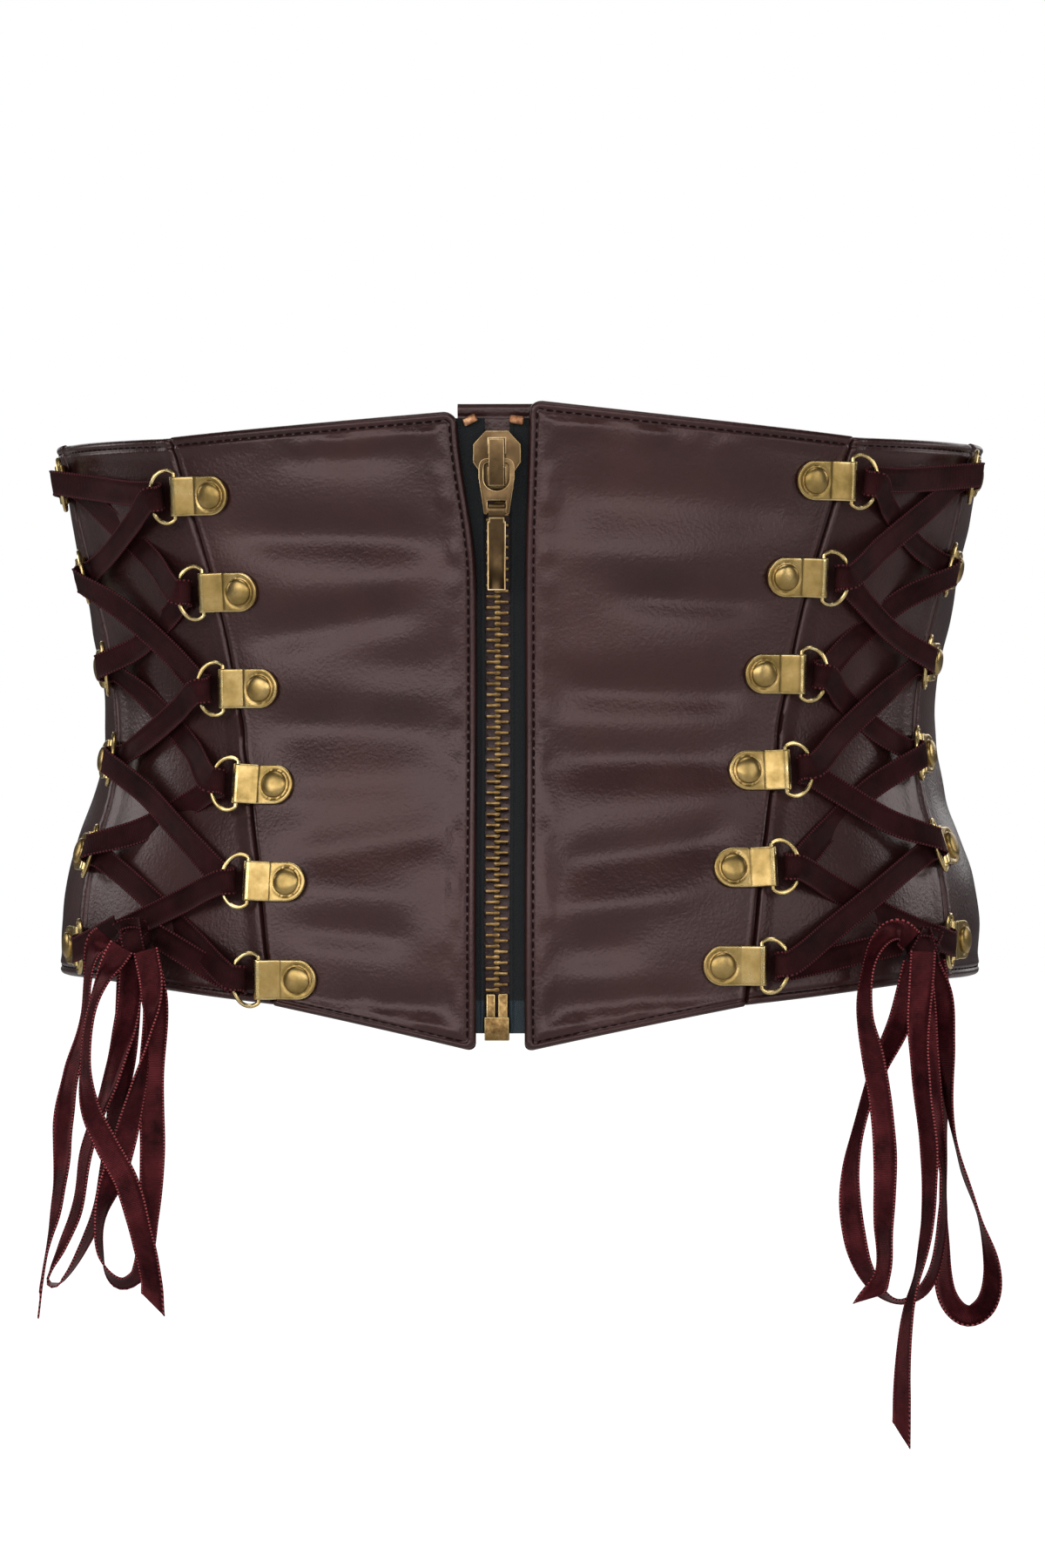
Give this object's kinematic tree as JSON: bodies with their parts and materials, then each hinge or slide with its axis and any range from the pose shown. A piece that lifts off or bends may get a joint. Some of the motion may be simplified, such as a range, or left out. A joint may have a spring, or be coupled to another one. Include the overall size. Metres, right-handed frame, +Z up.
{
  "type": "corset belt",
  "caption": "Wide shaped leather waist belt with a front zip and ribbon lacing between tabbed D rings at both sides.",
  "frame": {"origin": "on the belt's middle axis at the height of the waist, the narrowest level", "axes": "+Z up, -Y towards the front with the zip, +X to the right of someone facing the belt"},
  "size_m": [0.2647, 0.1918, 0.2801],
  "materials": {
    "leather": "smooth coated leather, satin",
    "zip_tape": "woven black tape",
    "zip_brass": "antique brass",
    "zip_copper": "coppery plated",
    "dark_brass": "dark antique brass, worn on the edges",
    "ring_brass": "antique brass, polished high spots",
    "ribbon": "satin ribbon with corded edges"
  },
  "bodies": {
    "belt": {"front_panel_left": "leather", "front_panel_right": "leather", "side_panel_left": "leather", "side_panel_right": "leather", "back_panel": "leather", "zip_guard": "leather", "zip_tape_left": "zip_tape", "zip_tape_right": "zip_tape", "zip_teeth_left": "zip_brass", "zip_teeth_right": "zip_brass", "retainer_box": "zip_brass", "insertion_pin": "zip_brass", "top_stop_left": "zip_copper", "top_stop_right": "zip_copper", "zip_slider": "dark_brass", "ring_left_front_1": "ring_brass", "ring_left_front_2": "ring_brass", "ring_left_front_3": "ring_brass", "ring_left_front_4": "ring_brass", "ring_left_front_5": "ring_brass", "ring_left_front_6": "ring_brass", "ring_left_rear_1": "ring_brass", "ring_left_rear_2": "ring_brass", "ring_left_rear_3": "ring_brass", "ring_left_rear_4": "ring_brass", "ring_left_rear_5": "ring_brass", "ring_left_rear_6": "ring_brass", "ring_right_front_1": "ring_brass", "ring_right_front_2": "ring_brass", "ring_right_front_3": "ring_brass", "ring_right_front_4": "ring_brass", "ring_right_front_5": "ring_brass", "ring_right_front_6": "ring_brass", "ring_right_rear_1": "ring_brass", "ring_right_rear_2": "ring_brass", "ring_right_rear_3": "ring_brass", "ring_right_rear_4": "ring_brass", "ring_right_rear_5": "ring_brass", "ring_right_rear_6": "ring_brass", "lace_left": "ribbon", "lace_right": "ribbon", "knot_left": "ribbon", "knot_right": "ribbon", "ribbon_left_loop_outer": "ribbon", "ribbon_left_loop_inner": "ribbon", "ribbon_left_tail_outer": "ribbon", "ribbon_left_tail_inner": "ribbon", "ribbon_right_loop_inner": "ribbon", "ribbon_right_loop_outer": "ribbon", "ribbon_right_tail_inner": "ribbon", "ribbon_right_tail_outer": "ribbon"},
    "link": {"puller_link": "dark_brass"},
    "puller": {"puller_tab": "dark_brass"}
  },
  "joints": [
    {"name": "link_swing", "type": "hinge", "parent": "belt", "child": "link", "pos_m": [-0.003, -0.09346, 0.07541], "axis": [-1, 0, 0], "range_deg": [0, 150]},
    {"name": "tab_swing", "type": "hinge", "parent": "link", "child": "puller", "pos_m": [-0.003, -0.09346, 0.06191], "axis": [-1, 0, 0], "range_deg": [-8, 90]}
  ]
}
